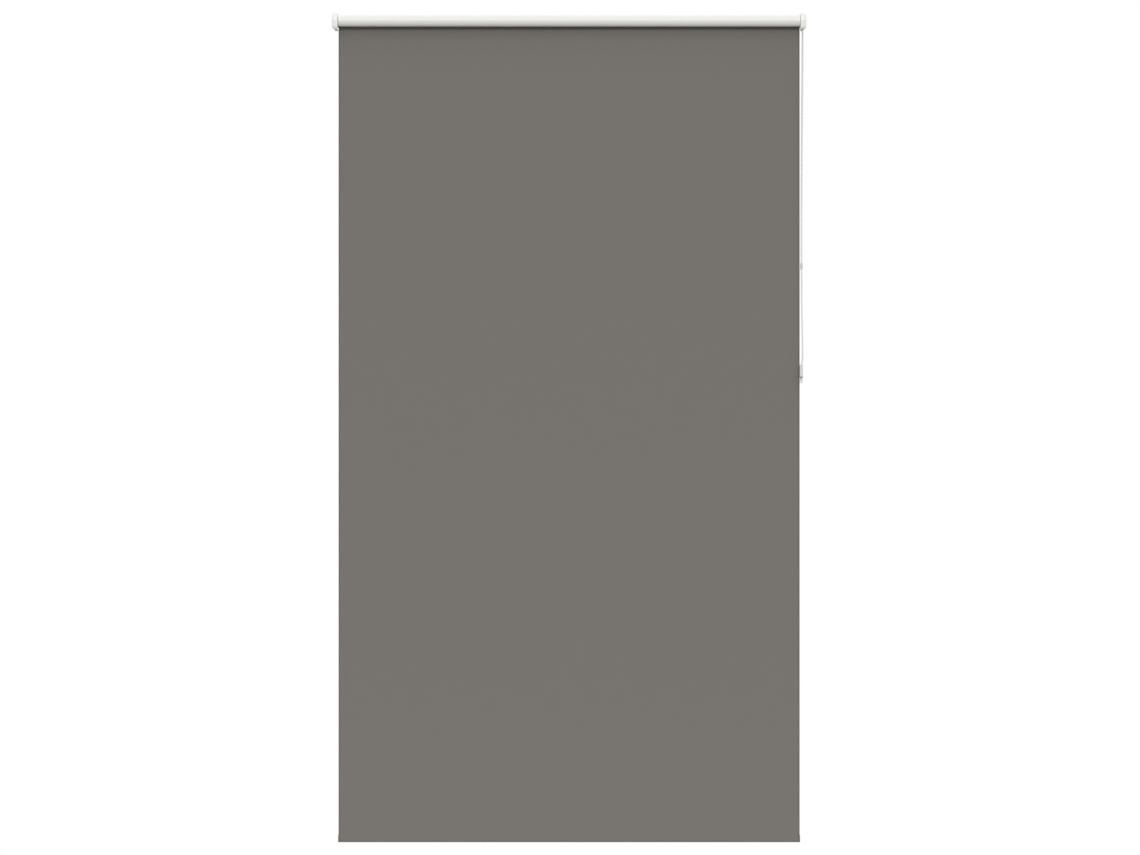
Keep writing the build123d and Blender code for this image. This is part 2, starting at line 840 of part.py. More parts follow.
def corner_radius(before, corner, after):
    """The wheel's radius at its corners, else an arc that leaves the runs a tenth straight."""
    arriving = Vector(*corner) - Vector(*before)
    leaving = Vector(*after) - Vector(*corner)
    half_turn = math.radians(arriving.get_angle(leaving)) / 2
    if half_turn > math.radians(15):
        return tensioner_pitch_r - slip_gap
    return 0.45 * min(arriving.length, leaving.length) / math.tan(half_turn)


chain_radii = [
    corner_radius(*chain_points[index - 1 : index + 2])
    for index in range(1, len(chain_points) - 1)
]
print("chain radii", [round(radius, 1) for radius in chain_radii])

with BuildPart() as bead_chain:
    with BuildLine() as chain_line:
        FilletPolyline(*chain_points, radius=chain_radii)
    with BuildSketch(Plane(origin=chain_line.line @ 0, z_dir=chain_line.line % 0)):
        Circle(bead_r)
    sweep()
bead_chain.part.label = "bead_chain"
pieces.append(bead_chain)
chain_length = sum(edge.length for edge in chain_line.edges())
print("chain length", round(chain_length, 1))
print("chain volume", bead_chain.part.volume, "section by length", math.pi * bead_r**2 * chain_length)

# The joining sleeve that closes the chain's ends into one loop, behind
lower_point, upper_point = (Vector(*chain_points[index]) for index in (19, 20))
connector_middle = lower_point + (upper_point - lower_point) * connector_place
with BuildPart() as chain_connector:
    sleeve_end_plane = Plane(
        origin=connector_middle - (upper_point - lower_point).normalized() * connector_length / 2,
        z_dir=upper_point - lower_point,
    )
    with BuildSketch(sleeve_end_plane):
        Circle(connector_r)
    extrude(amount=connector_length)
    fillet(chain_connector.edges(), 0.8)
    with BuildSketch(sleeve_end_plane):
        Circle(bead_r + run_gap)
    extrude(amount=connector_length, mode=Mode.SUBTRACT)
chain_connector.part.label = "chain_connector"
pieces.append(chain_connector)

# ---------------------------------------------------------------- chain tensioner

wheel_rim_r = tensioner_pitch_r + tensioner_flange
cavity_r = tensioner_pitch_r + bead_r + swing_gap
case_r = cavity_r + tensioner_rim_wall
cavity_half = tensioner_wheel_width / 2 + side_gap
case_half = cavity_half + tensioner_plate
case_bottom = tensioner_wheel_z - case_r
rib_bottom = tensioner_wheel_z + wheel_rim_r + side_gap
clamp_z = (rib_bottom + tensioner_top) / 2
eye_z = case_bottom - eye_drop


def case_block():
    """The case seen along the wheel's axis: straight sides and rounded lower corners."""
    with BuildSketch(Plane.XY) as block:
        with Locations((0, (case_bottom + tensioner_top) / 2)):
            Rectangle(2 * case_r, tensioner_top - case_bottom)
        fillet(block.vertices().group_by(Axis.Y)[0], tensioner_corner_r)
    return block.sketch


def case_cavity():
    """The room inside it: straight sides down to a half circle round the wheel, open at the top."""
    with BuildSketch(Plane.XY) as cavity:
        with Locations((0, tensioner_wheel_z)):
            Circle(cavity_r)
        with Locations((0, (tensioner_wheel_z + tensioner_top + 1) / 2)):
            Rectangle(2 * cavity_r, tensioner_top + 1 - tensioner_wheel_z)
    return cavity.sketch


for side, name in ((-1, "tensioner_inner_shell"), (1, "tensioner_outer_shell")):
    with BuildPart() as shell_half:
        with BuildSketch(across(tensioner_x + side * case_half)):
            add(case_block())
        extrude(amount=-side * case_half)
        fillet(shell_half.edges().group_by(Axis.X)[0 if side < 0 else -1], 0.8)
        with BuildSketch(across(tensioner_x + side * cavity_half)):
            add(case_cavity())
        extrude(amount=-side * cavity_half, mode=Mode.SUBTRACT)
        with BuildSketch(across(tensioner_x + side * cavity_half)):
            with Locations((0, (rib_bottom + tensioner_top) / 2)):
                Rectangle(2 * rib_half, tensioner_top - rib_bottom)
        extrude(amount=-side * cavity_half)
        with BuildSketch(across(tensioner_x + side * cavity_half)):
            with Locations((0, tensioner_wheel_z)):
                Circle(tensioner_boss_r)
        extrude(amount=-side * (side_gap - run_gap))
        # holes for the wheel's pin and for the screw that closes the case
        with BuildSketch(across(tensioner_x)):
            with Locations((0, tensioner_wheel_z)):
                Circle(tensioner_pin_r + run_gap)
        extrude(amount=side * case_half, mode=Mode.SUBTRACT)
        if side > 0:
            with BuildSketch(across(tensioner_x)):
                with Locations((0, clamp_z)):
                    Circle(clamp_screw_r + run_gap)
            extrude(amount=case_half, mode=Mode.SUBTRACT)
            with BuildSketch(across(tensioner_x + case_half - clamp_head_t)):
                with Locations((0, clamp_z)):
                    Circle(clamp_head_r + run_gap)
            extrude(amount=clamp_head_t, mode=Mode.SUBTRACT)
            # neck and fixing eye, below the case
            neck_top = case_bottom + tensioner_rim_wall - slip_gap
            with BuildSketch(Plane(origin=(tensioner_x, -standoff, neck_top))):
                Rectangle(neck_width, neck_depth)
            extrude(amount=eye_z - neck_top)
            eye_plane = Plane(
                origin=(tensioner_x, -standoff, eye_z), x_dir=(1, 0, 0), z_dir=(0, -1, 0)
            )
            with BuildSketch(eye_plane):
                Circle(eye_r)
            extrude(amount=neck_depth / 2, both=True)
            with BuildSketch(eye_plane):
                Circle(eye_hole_r)
            extrude(amount=neck_depth / 2, both=True, mode=Mode.SUBTRACT)
        else:
            with BuildSketch(across(tensioner_x)):
                with Locations((0, clamp_z)):
                    Circle(clamp_screw_r + run_gap)
            extrude(amount=-cavity_half, mode=Mode.SUBTRACT)
            # room for the other half's neck
            with BuildSketch(across(tensioner_x)):
                with Locations((0, case_bottom)):
                    Rectangle(neck_depth + 2 * slip_gap, 2 * tensioner_rim_wall)
            extrude(amount=-(neck_width / 2 + slip_gap), mode=Mode.SUBTRACT)
    shell_half.part.label = name
    pieces.append(shell_half)

with BuildPart() as tensioner_wheel:
    groove_r = bead_r + side_gap * 0.375
    half_width = tensioner_wheel_width / 2
    with BuildSketch(lengthwise):
        with BuildLine():
            Line((tensioner_x + groove_r, tensioner_pitch_r), (tensioner_x + groove_r, wheel_rim_r))
            Polyline(
                (tensioner_x + groove_r, wheel_rim_r),
                (tensioner_x + half_width, wheel_rim_r),
                (tensioner_x + half_width, tensioner_pin_r + run_gap),
                (tensioner_x - half_width, tensioner_pin_r + run_gap),
                (tensioner_x - half_width, wheel_rim_r),
                (tensioner_x - groove_r, wheel_rim_r),
                (tensioner_x - groove_r, tensioner_pitch_r),
            )
            CenterArc((tensioner_x, tensioner_pitch_r), groove_r, 180, 180)
        make_face()
    revolve(axis=tube_axis)
tensioner_wheel.part.position = (0, 0, tensioner_wheel_z)
tensioner_wheel.part.label = "tensioner_wheel"
pieces.append(tensioner_wheel)

with BuildPart() as tensioner_pin:
    with BuildSketch(across(tensioner_x - case_half)):
        with Locations((0, tensioner_wheel_z)):
            Circle(tensioner_pin_r)
    extrude(amount=2 * case_half)
    chamfer(tensioner_pin.edges().filter_by(GeomType.CIRCLE), 0.3)
tensioner_pin.part.label = "tensioner_pin"
pieces.append(tensioner_pin)

with BuildPart() as tensioner_screw:
    with BuildSketch(across(tensioner_x + case_half - clamp_head_t)):
        with Locations((0, clamp_z)):
            Circle(clamp_head_r)
    extrude(amount=clamp_head_t)
    with BuildSketch(across(tensioner_x + case_half - clamp_head_t)):
        with Locations((0, clamp_z)):
            Circle(clamp_screw_r)
    extrude(amount=-(cavity_half + case_half - clamp_head_t - side_gap))
    with BuildSketch(across(tensioner_x + case_half)):
        with Locations((0, clamp_z)):
            Rectangle(2.4, 0.5)
            Rectangle(0.5, 2.4)
    extrude(amount=-clamp_head_t / 2, mode=Mode.SUBTRACT)
tensioner_screw.part.label = "tensioner_screw"
pieces.append(tensioner_screw)

for piece in pieces:
    export_step(piece.part, f"parts/{piece.part.label}.step")
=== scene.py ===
# %% [markdown]
# # A roller blind, fully lowered
#
# The blind was designed first as a solid model: tube, brackets, clutch, chain and rail, each a
# separate piece with its joints. This lesson dresses that model. It loads the pieces as a fixed
# frame, replaces the cloth, the chain and one spring with shapes of their own, and gives every
# surface a finish worked out from how the real one is made. Lengths are metres throughout: X runs
# along the tube, Y points at the wall and Z is up, with the origin on the wall.

# %% Load the frame
import math

import bpy
import numpy as np
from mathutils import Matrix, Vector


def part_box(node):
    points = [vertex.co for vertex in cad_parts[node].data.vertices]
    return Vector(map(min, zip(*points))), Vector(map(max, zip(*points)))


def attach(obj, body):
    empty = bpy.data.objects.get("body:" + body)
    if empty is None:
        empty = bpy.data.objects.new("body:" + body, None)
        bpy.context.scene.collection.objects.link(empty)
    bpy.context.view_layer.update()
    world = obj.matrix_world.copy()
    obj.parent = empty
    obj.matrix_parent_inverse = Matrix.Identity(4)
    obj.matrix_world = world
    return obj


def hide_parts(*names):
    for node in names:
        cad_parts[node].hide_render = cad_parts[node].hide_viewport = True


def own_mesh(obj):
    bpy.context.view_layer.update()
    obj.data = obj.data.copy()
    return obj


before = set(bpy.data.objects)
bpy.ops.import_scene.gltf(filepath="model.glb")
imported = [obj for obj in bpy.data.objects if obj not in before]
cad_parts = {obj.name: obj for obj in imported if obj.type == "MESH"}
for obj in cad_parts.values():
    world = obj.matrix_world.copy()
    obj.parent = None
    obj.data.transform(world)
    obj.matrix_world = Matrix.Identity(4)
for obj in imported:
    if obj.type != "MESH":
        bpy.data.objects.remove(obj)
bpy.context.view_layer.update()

# %% [markdown]
# ## Camera
#
# A catalogue picture of a flat product is taken from far away with a long lens, so that the tube
# and the hem look the same width. A perspective camera twelve metres off with a matching focal
# length gives that look and still works from any other side, which an orthographic one would not.

# %% Camera
VIEW_WIDTH = 2.889  # metres across the picture at the cloth
DISTANCE = 12.0  # from the cloth's plane, which is about 20 mm in front of the wall
CLOTH_PLANE = -0.02
AIM_X, AIM_Z = 0.0023, -1.0296
SENSOR = 36.0  # millimetres

camera_data = bpy.data.cameras.new("long_lens")
camera_data.sensor_width = SENSOR
camera_data.lens = SENSOR * DISTANCE / VIEW_WIDTH
camera_data.clip_end = 100  # well past the floor's far edge
camera = bpy.data.objects.new("long_lens", camera_data)
camera.location = (AIM_X, CLOTH_PLANE - DISTANCE, AIM_Z)
camera.rotation_euler = (math.radians(90), 0, 0)
bpy.context.scene.collection.objects.link(camera)
bpy.context.scene.camera = camera
print("focal length", round(camera_data.lens, 1), "mm")

# %% [markdown]
# ## The chain's line
#
# The operating chain is an endless loop, limp, and held at two places: the drive wheel under the
# right cover and the small wheel of the tensioner. Its route is a short list of given points. A
# quadratic NURBS spline with those points as control points is always tangent to the runs between
# them, so it flows like a hanging chain and never kinks. The order is set after the points are
# added, because Blender limits the order to the number of points there are.

# %% Chain route
CHAIN_ROUTE = (
    (0.5917, -0.0404, -0.0125),
    (0.5903, -0.0402, -0.1800),
    (0.5886, -0.0395, -0.3700),
    (0.5879, -0.0382, -0.5500),
    (0.5887, -0.0369, -0.6900),
    (0.5900, -0.0359, -0.7750),
    (0.5913, -0.0352, -0.8300),
    (0.5914, -0.0349, -0.8560),
    (0.5889, -0.0346, -0.8690),
    (0.5880, -0.0345, -0.8820),
    (0.5880, -0.0345, -0.89436),
    (0.5880, -0.03011, -0.89875),
    (0.5880, -0.02389, -0.89875),
    (0.5880, -0.0195, -0.89436),
    (0.5880, -0.0195, -0.8820),
    (0.5890, -0.0194, -0.8690),
    (0.5916, -0.0191, -0.8560),
    (0.5918, -0.0187, -0.8300),
    (0.5906, -0.0179, -0.7700),
    (0.5894, -0.0169, -0.6800),
    (0.5890, -0.0157, -0.5400),
    (0.5897, -0.0145, -0.3600),
    (0.5908, -0.0137, -0.1700),
    (0.5917, -0.0136, -0.0125),
)


def spline_points(route, resolution):
    """Points along the quadratic NURBS spline that has the route as its control points."""
    curve = bpy.data.curves.new("route", "CURVE")
    curve.dimensions = "3D"
    curve.resolution_u = resolution
    spline = curve.splines.new("NURBS")
    spline.points.add(len(route) - 1)
    spline.points.foreach_set("co", np.c_[np.array(route), np.ones(len(route))].ravel())
    spline.order_u = 3
    spline.use_endpoint_u = True
    carrier = bpy.data.objects.new("route", curve)
    bpy.context.scene.collection.objects.link(carrier)
    bpy.context.view_layer.update()
    line = bpy.data.meshes.new_from_object(carrier)
    points = np.empty(len(line.vertices) * 3)
    line.vertices.foreach_get("co", points)
    bpy.data.objects.remove(carrier)
    bpy.data.meshes.remove(line)
    bpy.data.curves.remove(curve)
    return points.reshape(-1, 3)


STEPS_PER_SPAN = 48

chain_line = spline_points(CHAIN_ROUTE, STEPS_PER_SPAN)
chain_steps = np.linalg.norm(np.diff(chain_line, axis=0), axis=1)
chain_length = chain_steps.sum()
print("chain's free loop", round(chain_length, 4), "m along", len(chain_line), "points")

# %% [markdown]
# ## Building a mesh from arrays
#
# Every new piece here is a grid of points: so many steps one way, so many the other. numpy works
# out the whole grid at once, and `foreach_set` hands it to Blender without a loop over vertices.
# A closed shape has to have its faces turned outwards. Its signed volume tells: if the sum of the
# little tetrahedra from the origin to each face is negative, the faces are inside out, and turning
# round the order of every face's corners mends it.

# %% Mesh builder
SHARP_ANGLE = math.radians(50)  # edges that turn by more than this stay sharp


def build_mesh(name, points, faces, uv, material_index=None):
    """An object at the origin from (n, 3) points, (f, 4) faces and (n, 2) map places in metres."""
    a, b, c, d = (points[faces[:, k]] for k in range(4))
    volume = (np.cross(a, b) * c).sum() + (np.cross(a, c) * d).sum()
    if volume < 0:
        faces = faces[:, ::-1]
    mesh = bpy.data.meshes.new(name)
    mesh.vertices.add(len(points))
    mesh.vertices.foreach_set("co", points.astype(np.float32).ravel())
    mesh.loops.add(faces.size)
    mesh.loops.foreach_set("vertex_index", faces.astype(np.int32).ravel())
    mesh.polygons.add(len(faces))
    mesh.polygons.foreach_set("loop_start", np.arange(0, faces.size, 4, dtype=np.int32))
    if material_index is not None:
        mesh.polygons.foreach_set("material_index", material_index.astype(np.int32))
    layer = mesh.uv_layers.new(name="UVMap")
    layer.data.foreach_set("uv", uv[faces.ravel()].astype(np.float32).ravel())
    mesh.update(calc_edges=True)
    mesh.validate()
    mesh.shade_smooth()
    mesh.set_sharp_from_angle(angle=SHARP_ANGLE)
    piece = bpy.data.objects.new(name, mesh)
    bpy.context.scene.collection.objects.link(piece)
    print(name, "has", len(mesh.polygons), "faces")
    return piece


def grid_faces(rows, columns, wrap):
    """Quads between neighbouring rows and columns; wrap joins the last column to the first."""
    r = np.arange(rows - 1)[:, None]
    c = np.arange(columns if wrap else columns - 1)[None, :]
    n = (c + 1) % columns
    near, far = r * columns, (r + 1) * columns
    return np.stack([near + c, near + n, far + n, far + c], axis=-1).reshape(-1, 4)


# %% [markdown]
# ## Nodes and colours
#
# A material is a small graph. One function adds a node, sets its values and links its inputs, so a
# material reads as a short list. Colours are written as the sRGB hex values that a screen shows;
# Blender computes in linear light, so one function turns them round. A value that is the same all
# over the surface goes straight on the shader's own socket.

# %% Node and colour helpers
def linear(hex_colour):
    """sRGB hex to linear RGBA: below 0.04045 divided by 12.92, above it a 2.4 power."""
    value = np.array([int(hex_colour[k : k + 2], 16) / 255 for k in (1, 3, 5)])
    value = np.where(value <= 0.04045, value / 12.92, ((value + 0.055) / 1.055) ** 2.4)
    return (*value.tolist(), 1.0)


def add_node(tree, kind, links=None, **settings):
    """A new node. A setting sets the node's own value of that name, or else the socket so named.

    An underscore stands for a space in a socket's name, and _6 is socket number 6.
    """
    node = tree.nodes.new(kind)
    for key, value in settings.items():
        if hasattr(node, key):
            setattr(node, key, value)
        else:
            socket = int(key[1:]) if key[1:].isdigit() else key.replace("_", " ")
            node.inputs[socket].default_value = value
    for socket, source in (links or {}).items():
        tree.links.new(source, node.inputs[socket])
    return node


def start_material(name):
    """A new material's tree, its Principled shader and its Object coordinates in metres."""
    material = bpy.data.materials.new(name)
    material.use_nodes = True
    tree = material.node_tree
    shader = tree.nodes["Principled BSDF"]
    place = add_node(tree, "ShaderNodeTexCoord")
    return material, tree, shader, place


# %% [markdown]
# ## Woven polyester
#
# The cloth is a plain weave: one thread over, one thread under, in both directions, calendered flat
# so that it blocks light. The real threads lie about 0.4 mm apart, too fine to see from a few
# metres, so the weave is drawn at 0.9 mm. What the eye does catch is that no yarn is even: thick
# and thin stretches run along the threads as faint streaks. The weave is a product of two sine
# waves over the cloth's own map, which is in metres, so it follows the cloth round the tube and
# the hem. The cut edges are sealed with heat, which leaves a slightly darker, glazed band.

# %% Cloth material
THREAD_SPACING = 0.0009
THREAD_HEIGHT = 0.00012
STREAKS_ALONG, STREAKS_ACROSS = 12, 900  # per metre
CLOTH_WIDTH = 1.169
BAND_START, BAND_END = CLOTH_WIDTH / 2 - 0.0048, CLOTH_WIDTH / 2 - 0.0036


def woven_polyester(name, base, band):
    """Plain weave: height sin(2 pi u / p) sin(2 pi v / p), and long thin noise for the yarns."""
    material, tree, shader, place = start_material(name)
    split = add_node(tree, "ShaderNodeSeparateXYZ", {0: place.outputs["UV"]})
    waves = []
    for axis in (0, 1):
        turn = add_node(
            tree, "ShaderNodeMath", {0: split.outputs[axis]}, operation="MULTIPLY",
            _1=math.tau / THREAD_SPACING,
        )
        waves.append(add_node(tree, "ShaderNodeMath", {0: turn.outputs[0]}, operation="SINE"))
    weave = add_node(
        tree, "ShaderNodeMath", {0: waves[0].outputs[0], 1: waves[1].outputs[0]},
        operation="MULTIPLY",
    )
    streaks = []
    for stretch in ((STREAKS_ALONG, STREAKS_ACROSS, 1), (STREAKS_ACROSS, STREAKS_ALONG, 1)):
        turned = add_node(
            tree, "ShaderNodeMapping", {"Vector": place.outputs["UV"]}, Scale=stretch
        )
        noise = add_node(
            tree, "ShaderNodeTexNoise", {"Vector": turned.outputs[0]}, Scale=1.0, Detail=2.0
        )
        streaks.append(noise)
    yarn = add_node(
        tree, "ShaderNodeMath", {0: streaks[0].outputs[0], 1: streaks[1].outputs[0]},
        operation="ADD",
    )
    shade = add_node(
        tree, "ShaderNodeMapRange", {"Value": yarn.outputs[0]},
        From_Min=0.7, From_Max=1.3, To_Min=0.985, To_Max=1.015,
    )
    off_centre = add_node(tree, "ShaderNodeMath", {0: split.outputs[0]}, operation="ABSOLUTE")
    edge = add_node(
        tree, "ShaderNodeMapRange", {"Value": off_centre.outputs[0]},
        interpolation_type="SMOOTHSTEP", From_Min=BAND_START, From_Max=BAND_END,
        To_Min=0.0, To_Max=1.0,
    )
    colour = add_node(
        tree, "ShaderNodeMix", {0: edge.outputs[0]}, data_type="RGBA",
        _6=linear(base), _7=linear(band),
    )
    tinted = add_node(
        tree, "ShaderNodeHueSaturation", {"Color": colour.outputs[2], "Value": shade.outputs[0]}
    )
    bump = add_node(
        tree, "ShaderNodeBump", {"Height": weave.outputs[0]}, Strength=0.25,
        Distance=THREAD_HEIGHT,
    )
    tree.links.new(tinted.outputs[0], shader.inputs["Base Color"])
    tree.links.new(bump.outputs[0], shader.inputs["Normal"])
    shader.inputs["Roughness"].default_value = 0.92
    shader.inputs["IOR"].default_value = 1.5
    shader.inputs["Specular IOR Level"].default_value = 0.25
    shader.inputs["Sheen Weight"].default_value = 0.08
    shader.inputs["Sheen Roughness"].default_value = 0.5
    return material


cloth_material = woven_polyester("woven_polyester", "#73706B", "#6A6867")

# %% [markdown]
# ## Moulded plastic, paint and powder coat
#
# The covers and plugs are injection-moulded ABS. The steel mould is spark-eroded, which prints a
# fine satin grain of about 0.3 mm on the plastic and keeps its shine soft. The tube is aluminium
# with a powder coat: the powder melts and flows, and freezes with a long faint waviness called
# orange peel, about 2 mm from crest to crest. The brackets are steel with a sprayed paint, which
# waves a little less. The tensioner is nylon, a little greyer, and the rail's caps are grey
# polypropylene. The beads are acetal, a harder plastic from a polished mould, so they catch small
# bright points of light. All these differ only in colour, shine, and the size and height of their
# grain, so one function makes them. The covers and the tube scatter light evenly to all sides, as
# a filled white plastic and a powder coat do, and their diffuse roughness is set to full.

# %% Plastic and paint materials
NOISE_LOW, NOISE_HIGH = 0.3, 0.7  # most of a noise texture's values lie between these
PATCHINESS = 0.04  # roughness varies by this much either way


def grained(name, base, roughness, ior, grain, height, variation=0.02, drift=0.05, matt=0.0):
    """A dielectric that waves every grain metres, height metres deep, and is tinted every drift."""
    material, tree, shader, place = start_material(name)
    fine = add_node(
        tree, "ShaderNodeTexNoise", {"Vector": place.outputs["Object"]},
        Scale=1 / grain, Detail=2.0,
    )
    bump = add_node(
        tree, "ShaderNodeBump", {"Height": fine.outputs[0]}, Strength=1.0, Distance=height
    )
    broad = add_node(
        tree, "ShaderNodeTexNoise", {"Vector": place.outputs["Object"]},
        Scale=1 / drift, Detail=3.0,
    )
    tone = add_node(
        tree, "ShaderNodeMapRange", {"Value": broad.outputs[0]},
        From_Min=NOISE_LOW, From_Max=NOISE_HIGH, To_Min=1 - variation, To_Max=1.0,
    )
    tinted = add_node(
        tree, "ShaderNodeHueSaturation", {"Value": tone.outputs[0]}, Color=linear(base)
    )
    patchy = add_node(
        tree, "ShaderNodeMapRange", {"Value": broad.outputs[0]},
        From_Min=NOISE_LOW, From_Max=NOISE_HIGH,
        To_Min=roughness - PATCHINESS, To_Max=roughness + PATCHINESS,
    )
    tree.links.new(tinted.outputs[0], shader.inputs["Base Color"])
    tree.links.new(patchy.outputs[0], shader.inputs["Roughness"])
    tree.links.new(bump.outputs[0], shader.inputs["Normal"])
    shader.inputs["IOR"].default_value = ior
    shader.inputs["Diffuse Roughness"].default_value = matt
    return material


# name, colour, roughness, index of refraction, grain, height of the grain
moulded_abs = grained("moulded_white_abs", "#E9E9E7", 0.38, 1.54, 0.0003, 0.000006, matt=1.0)
moulded_nylon = grained("moulded_white_nylon", "#D2D2D0", 0.42, 1.53, 0.0004, 0.000008)
powder_coat = grained("powder_coated_aluminium", "#E7E7E5", 0.45, 1.5, 0.002, 0.00001, matt=1.0)
painted_steel = grained("white_painted_steel", "#E4E4E2", 0.45, 1.5, 0.0012, 0.000008)
grey_polypropylene = grained(
    "moulded_grey_polypropylene", "#6F6D69", 0.5, 1.49, 0.0003, 0.000006
)
acetal = grained("polished_acetal", "#E6E6E4", 0.25, 1.48, 0.0006, 0.000002)
chain_cord_material = grained("polyester_chain_cord", "#D2D2CF", 0.8, 1.5, 0.0003, 0.00003)
mounting_tape = grained("mounting_tape", "#D9D9D3", 0.3, 1.47, 0.004, 0.000006)

# %% [markdown]
# ## Bare metal
#
# The hem rail is an aluminium extrusion, left as it comes from the press: the die drags faint
# straight lines along it. Springs, pins and screws are bright drawn steel with finer lines. In
# both, long noise stretched along X varies the roughness and lifts the surface by a few microns.
# A metal keeps Blender's default index of refraction.

# %% Metal materials
LINES_ALONG = 15  # changes per metre along a line
LINE_HEIGHT = 0.000006
LINE_SHINE = 0.08  # roughness varies by this much either way from line to line


def drawn_metal(name, base, roughness, line_spacing):
    """A metal with lines along X: noise squeezed to line_spacing across and drawn out along."""
    material, tree, shader, place = start_material(name)
    along = add_node(
        tree, "ShaderNodeMapping", {"Vector": place.outputs["Object"]},
        Scale=(LINES_ALONG, 1 / line_spacing, 1 / line_spacing),
    )
    lines = add_node(
        tree, "ShaderNodeTexNoise", {"Vector": along.outputs[0]}, Scale=1.0, Detail=3.0
    )
    rough = add_node(
        tree, "ShaderNodeMapRange", {"Value": lines.outputs[0]},
        From_Min=NOISE_LOW, From_Max=NOISE_HIGH,
        To_Min=roughness - LINE_SHINE, To_Max=roughness + LINE_SHINE,
    )
    bump = add_node(
        tree, "ShaderNodeBump", {"Height": lines.outputs[0]}, Strength=0.6, Distance=LINE_HEIGHT
    )
    tree.links.new(rough.outputs[0], shader.inputs["Roughness"])
    tree.links.new(bump.outputs[0], shader.inputs["Normal"])
    shader.inputs["Base Color"].default_value = linear(base)
    shader.inputs["Metallic"].default_value = 1.0
    return material


extruded_aluminium = drawn_metal("extruded_aluminium", "#D5D6D8", 0.38, 0.0008)
drawn_steel = drawn_metal("bright_drawn_steel", "#C4C5C7", 0.28, 0.0004)

# %% [markdown]
# ## Clear plastic
#
# The joining sleeve on the chain is a clear moulding, so that it hides in the chain. Its surface
# and the beads inside it send most of the light back, so only a quarter is let through.

# %% Clear plastic
clear_plastic = grained("clear_polycarbonate", "#F0F1F1", 0.2, 1.58, 0.0008, 0.000004)
clear_shader = clear_plastic.node_tree.nodes["Principled BSDF"]
clear_shader.inputs["Transmission Weight"].default_value = 0.25

# %% [markdown]
# ## Dressing the frame's own pieces
#
# The moulded and metal pieces already have their true shape, so they only need a finish. Each
# material is put in its object's slots; the meshes stay as they are.

# %% Finishes for the frame's pieces
FINISHES = {
    powder_coat: ("roller_tube",),
    painted_steel: ("drive_bracket", "idle_bracket"),
    moulded_abs: (
        "drive_cover", "idle_cover", "clutch_base", "chain_guard", "chain_wheel", "output_hub",
        "idle_bush", "idle_plug", "idle_pin", "idle_spring_seat",
    ),
    moulded_nylon: ("tensioner_inner_shell", "tensioner_outer_shell", "tensioner_wheel"),
    acetal: ("chain_on_wheel",),
    clear_plastic: ("chain_connector",),
    mounting_tape: ("fabric_tape",),
    extruded_aluminium: ("bottom_rail",),
    grey_polypropylene: ("rail_cap_left", "rail_cap_right"),
    drawn_steel: (
        "brake_springs", "hub_washer", "hub_screw", "tensioner_pin", "tensioner_screw",
    ),
}
for finish, names in FINISHES.items():
    for name in names:
        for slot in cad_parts[name].material_slots:
            slot.material = finish
print("finished nodes:", sum(len(names) for names in FINISHES.values()))

# %% [markdown]
# ## The cloth
#
# All three cloth pieces are the same thing: a thin strip whose cross-section, seen along the tube,
# is a line, carried straight across the blind's width. One function does it. It takes the line in
# Y and Z, steps half the thickness to either side along the line's normal, joins the two sides into
# a closed loop and repeats the loop at stations along X. The map runs in metres along the width and
# along the line, which is what the weave needs.

# %% Cloth strip
CLOTH_T = 0.00035


def straight(y, start_z, end_z, steps):
    """Points evenly spaced on an upright line at y."""
    return np.c_[np.full(steps, y), np.linspace(start_z, end_z, steps)]


def strip_normal(line):
    """The line's unit normal: its tangent, from neighbouring points, turned a quarter."""
    tangent = np.gradient(line, axis=0)
    tangent /= np.linalg.norm(tangent, axis=1, keepdims=True)
    return np.c_[-tangent[:, 1], tangent[:, 0]]


def cloth_strip(name, line, stations, start, drift=None):
    """Loop = line + t/2 normal, then line - t/2 normal backwards; the points are X by that loop."""
    normal = strip_normal(line)
    loop = np.r_[line + normal * CLOTH_T / 2, (line - normal * CLOTH_T / 2)[::-1]]
    along = np.r_[0, np.linalg.norm(np.diff(line, axis=0), axis=1).cumsum()] + start
    x, k = np.meshgrid(stations, np.arange(len(loop)), indexing="ij")
    y, z = loop[k, 0], loop[k, 1]
    if drift is not None:
        y = y + drift(x, z)
    points = np.stack([x, y, z], axis=-1).reshape(-1, 3)
    uv = np.stack([x, -np.r_[along, along[::-1]][k]], axis=-1).reshape(-1, 2)
    faces = grid_faces(len(stations), len(loop), True)
    j = np.arange(len(line) - 1)
    end = np.stack([j, 2 * len(line) - 1 - j, 2 * len(line) - 2 - j, j + 1], axis=-1)
    last = end[:, ::-1] + (len(stations) - 1) * len(loop)
    piece = build_mesh(name, points, np.r_[faces, end, last], uv)
    piece.data.materials.append(cloth_material)
    return piece


# %% [markdown]
# ### The hanging cloth
#
# Pulled straight by the rail, the cloth is flat but never perfect: it lies against a round tube
# above and a stiff rail below, and between them it bellies by a few tenths of a millimetre in long
# slow waves. The waves are a sum of three sines across the width that fade out at both ends.

# %% Hanging cloth
panel_low, panel_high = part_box("fabric_panel")
panel_y = (panel_low.y + panel_high.y) / 2
hem_low, hem_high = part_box("fabric_hem")
panel_drop = panel_high.z - hem_high.z
MAP_START = 0.02  # the cloth's map reaches this far up past the hanging part
PANEL_ROWS, PANEL_STATIONS = 180, 121
BELLY = 0.0005  # how far the waves reach in front and behind


def slow_waves(x, z):
    """y shift: three sines across the width, turned a little down the drop, times sin(pi share)."""
    share = np.clip(-z / panel_drop, 0, 1)
    across = (
        0.5 * np.sin(math.tau * x / 0.61 + 1.3 * share + 0.4)
        + 0.3 * np.sin(math.tau * x / 0.37 - 2.1 * share + 1.9)
        + 0.2 * np.sin(math.tau * x / 0.23 + 0.8 * share)
    )
    return BELLY * across * np.sin(math.pi * share)


